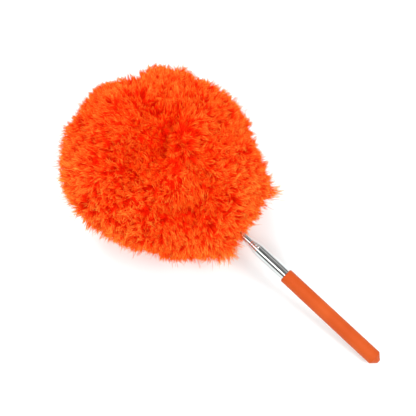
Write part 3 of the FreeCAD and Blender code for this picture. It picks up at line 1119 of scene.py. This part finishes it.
@dataclass
class Head:
    """Round head of plumes; its length and width come from the CAD plumes.

    The crown is the place that the tufts part from; the strands are painted deepest there and paler
    away from it, as painted rim light.
    """

    axis: PoleAxis
    plume_count: int = 8
    lift: float = 2.0 * MM
    height: float = 118.0 * MM
    crown: Swell = Swell(91.0, 8.0, 0.0, 1.0)
    wisps: tuple[Wisp, ...] = (
        Wisp(153.0, -80.0, 1.7, 9, 2.5),
        Wisp(168.0, -95.0, 1.3, 5, 2.5),
        Wisp(166.0, 95.0, 1.15, 6, 3.0),
        Wisp(42.0, -48.0, 1.1, 12, 4.0),
        Wisp(60.0, 80.0, 1.25, 8, 6.0),
    )
    swells: tuple[Swell, ...] = (
        Swell(94.0, 17.0, -24.0 * MM, 9.0),
        Swell(88.0, 4.0, -13.0 * MM, 6.5),
        Swell(82.0, -6.0, -13.0 * MM, 6.5),
        Swell(108.0, -9.0, -7.0 * MM, 5.0),
        Swell(138.0, 32.0, -7.0 * MM, 6.0),
        Swell(131.0, 43.0, -6.0 * MM, 7.0),
        Swell(123.0, 53.0, -6.0 * MM, 7.0),
        Swell(86.0, 45.0, -5.0 * MM, 6.0),
        Swell(124.0, 105.0, -5.5 * MM, 18.0),
        Swell(170.0, 112.0, 5.0 * MM, 7.0),
        Swell(66.0, 92.0, 4.0 * MM, 14.0),
        Swell(27.0, -42.0, -15.0 * MM, 9.0),
        Swell(23.0, -74.0, -4.5 * MM, 8.0),
        Swell(40.0, -60.0, 0.5 * MM, 7.0),
        Swell(113.0, -76.0, 1.5 * MM, 6.0),
        Swell(18.0, 40.0, -2.2 * MM, 18.0),
        Swell(122.0, -78.0, -4.4 * MM, 20.0),
        Swell(66.0, -65.0, -2.5 * MM, 9.0),
        Swell(167.0, -68.0, -6.0 * MM, 10.0),
        Swell(155.0, 98.0, -4.0 * MM, 9.0),
    )

    def form(self) -> HeadForm:
        """Measure the CAD plumes and return the head's outer form."""
        reaches = [self.axis.reach(f"plume_{n}") for n in range(1, self.plume_count + 1)]
        corners = [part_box(f"plume_{n}") for n in range(1, self.plume_count + 1)]
        low = min(reach[0] for reach in reaches)
        high = max(reach[1] for reach in reaches)
        half_width = max(abs(corner.y) for pair in corners for corner in pair)
        centre = self.axis.at((low + high) / 2) + self.axis.up * self.lift
        return HeadForm(
            axis=self.axis,
            centre=centre,
            half_length=(high - low) / 2,
            half_height=self.height / 2,
            half_width=half_width,
            swells=list(self.swells),
            plume_count=self.plume_count,
        )

    def build(self) -> list[bpy.types.Object]:
        """Build and dress every plume.

        Returns:
            The finished pieces.
        """
        form = self.form()
        crown = self.crown.direction()
        fibre = DyedFibre().build("dyed_fibre")
        matted = MattedPile().build("matted_pile")
        spread = 2 * math.pi / self.plume_count
        pieces = []
        for number in range(1, self.plume_count + 1):
            node = f"plume_{number}"
            middle_point = node_points(node).mean(axis=0) - form.centre
            turn = math.atan2(float(middle_point[1]), float(middle_point @ self.axis.up))
            middle = (round(turn / spread - 0.5) + 0.5) * spread
            near = [
                wisp
                for wisp in self.wisps
                if math.cos(math.radians(wisp.turn) - middle) > math.cos(spread / 2)
            ]
            plume = Plume(form, number, middle, spread, wisps=tuple(near))
            pile = plume.pile()
            pile.data.materials.append(matted)
            strands = plume.strands(crown)
            strands.data.materials.append(fibre)
            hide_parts(node)
            for piece in (pile, strands):
                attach(piece, Body.HEAD.value)
                pieces.append(piece)
        return pieces


# ---------------------------------------------------------------------------
# Studio
# ---------------------------------------------------------------------------


@dataclass
class Studio:
    """Pale table, soft light and the camera.

    The walls are bright where the pole points and dim across it, for dark lines along the steel.
    """

    pole: tuple[float, float, float]
    floor_size: float = 60.0
    floor_low: Colour = (0.84, 0.95, 0.96)
    floor_high: Colour = (0.86, 0.96, 0.97)
    floor_glow: float = 0.06
    dim_wall: Colour = (0.17, 0.17, 0.17)
    bright_wall: Colour = (0.90, 0.90, 0.90)
    low_band: Colour = (1.0, 1.0, 1.0)
    low_band_height: tuple[float, float] = (0.08, 0.15)
    camera_place: tuple[float, float, float] = (-0.14699, 0.18539, 0.46126)
    camera_aim: tuple[float, float, float] = (0.02333, -0.00171, 0.030)
    lens: float = 53.3
    sensor: float = 36.0

    def build(self) -> None:
        """Build the floor, the light and the camera."""
        self.floor()
        self.world()
        self.wide_light("ceiling_far", (1.00, -0.30, 1.50), 28.0, 1.14)
        self.wide_light("ceiling_near", (-1.10, -0.30, 1.40), 28.0, 1.14)
        self.area_light("strip", (-0.18, 0.68, 0.98), (2.00, 0.26), 10.5)
        self.area_light("back_card", (-0.15, -0.80, 0.90), (1.40, 0.60), 1.2)
        self.camera()

    def floor(self) -> None:
        """Lay the plain pale table top."""
        half = self.floor_size / 2
        points = np.array([[-half, -half, 0], [half, -half, 0], [half, half, 0], [-half, half, 0]], float)
        floor = new_mesh_object("table_top", points, [np.array([[0, 1, 2, 3]])])
        made = NodeMaterial("pale_table")
        made.shader.inputs["Roughness"].default_value = 0.7
        made.shader.inputs["Specular IOR Level"].default_value = 0.1
        cloud = made.noise(3.0, 3.0)
        shade = made.ramp(cloud, [(0.3, self.floor_low), (0.7, self.floor_high)])
        made.link(shade, made.shader.inputs["Base Color"])
        made.shader.inputs["Emission Color"].default_value = (0.9, 1.0, 1.0, 1.0)
        made.shader.inputs["Emission Strength"].default_value = self.floor_glow
        floor.data.materials.append(made.material)

    def world(self) -> None:
        """Light the room: bright beyond both ends of the pole and low down, dim in between."""
        world = bpy.data.worlds.new("studio_room")
        bpy.context.scene.world = world
        world.use_nodes = True
        tree = world.node_tree
        place = tree.nodes.new("ShaderNodeTexCoord")
        share = tree.nodes.new("ShaderNodeVectorMath")
        share.operation = "DOT_PRODUCT"
        share.inputs[1].default_value = self.pole
        size = tree.nodes.new("ShaderNodeMath")
        size.operation = "ABSOLUTE"
        ramp = tree.nodes.new("ShaderNodeValToRGB")
        tree.links.new(place.outputs["Generated"], share.inputs[0])
        tree.links.new(share.outputs["Value"], size.inputs[0])
        tree.links.new(size.outputs["Value"], ramp.inputs["Fac"])
        marks = ramp.color_ramp.elements
        marks[0].position, marks[0].color = 0.20, (*self.dim_wall, 1.0)
        marks[1].position, marks[1].color = 0.60, (*self.bright_wall, 1.0)
        split = tree.nodes.new("ShaderNodeSeparateXYZ")
        tree.links.new(place.outputs["Generated"], split.inputs["Vector"])
        low = tree.nodes.new("ShaderNodeMapRange")
        low.interpolation_type = "SMOOTHSTEP"
        low.inputs["From Min"].default_value = self.low_band_height[1]
        low.inputs["From Max"].default_value = self.low_band_height[0]
        tree.links.new(split.outputs["Z"], low.inputs["Value"])
        blend = tree.nodes.new("ShaderNodeMix")
        blend.data_type = "RGBA"
        blend.inputs[7].default_value = (*self.low_band, 1.0)
        tree.links.new(low.outputs["Result"], blend.inputs["Factor"])
        tree.links.new(ramp.outputs["Color"], blend.inputs[6])
        tree.links.new(blend.outputs[2], tree.nodes["Background"].inputs["Color"])
        tree.nodes["Background"].inputs["Strength"].default_value = 1.0

    def wide_light(self, name: str, place: tuple[float, float, float], angle: float, power: float) -> None:
        """Add a distant soft light from the direction of a place.

        Args:
            name: name of the light.
            place: a point in the light's direction.
            angle: how wide the light is, in degrees.
            power: power in watts per square metre.
        """
        light = bpy.data.lights.new(name, "SUN")
        light.angle = math.radians(angle)
        light.energy = power
        self.hang(light, place, (0.0, 0.0, 0.0))

    def area_light(self, name: str, place: tuple[float, float, float], size: tuple[float, float],
                   power: float) -> None:
        """Hang a soft light that faces the middle of the object.

        Args:
            name: name of the light.
            place: where it hangs, in metres.
            size: its width and height, in metres.
            power: power in watts.
        """
        light = bpy.data.lights.new(name, "AREA")
        light.shape = "RECTANGLE"
        light.size, light.size_y = size
        light.energy = power
        self.hang(light, place, (0.0, 0.0, 0.04)).visible_camera = False

    def hang(self, data: bpy.types.ID, place: tuple[float, float, float],
             aim: tuple[float, float, float]) -> bpy.types.Object:
        """Link a lamp or camera to the scene at a place, looking at an aim.

        Args:
            data: the lamp's or camera's data.
            place: where it is, in metres.
            aim: the point that it looks at.

        Returns:
            Its object.
        """
        thing = bpy.data.objects.new(data.name, data)
        thing.matrix_world = self.look(Vector(place), Vector(aim))
        bpy.context.scene.collection.objects.link(thing)
        return thing

    @staticmethod
    def look(place: Vector, aim: Vector) -> Matrix:
        """Return the matrix of a camera or lamp at a place that looks at an aim."""
        turn = (aim - place).to_track_quat("-Z", "Y")
        return Matrix.Translation(place) @ turn.to_matrix().to_4x4()

    def camera(self) -> None:
        """Set the camera that looks down on the object from beyond the grip."""
        lens = bpy.data.cameras.new("camera")
        lens.lens = self.lens
        lens.sensor_width = self.sensor
        lens.clip_start = 0.01
        bpy.context.scene.camera = self.hang(lens, self.camera_place, self.camera_aim)
        bpy.context.scene.view_settings.view_transform = "Standard"


def main() -> None:
    """Build the studio, then the duster from its grip to its head."""
    logging.basicConfig(level=logging.INFO, format="%(name)s: %(message)s")
    axis = PoleAxis.from_frame()
    Studio(tuple(axis.along)).build()
    log.info("grip: %s", Grip(axis).build().name)
    for piece in Pole(axis).build():
        log.info("tube: %s", piece.name)
    dressed = Fittings(math.asin(float(axis.along[2]))).dress()
    log.info("fittings: %d pieces", len(dressed))
    for piece in Head(axis).build():
        log.info("plume: %s, %d faces", piece.name, len(piece.data.polygons))


if __name__ == "__main__":
    main()
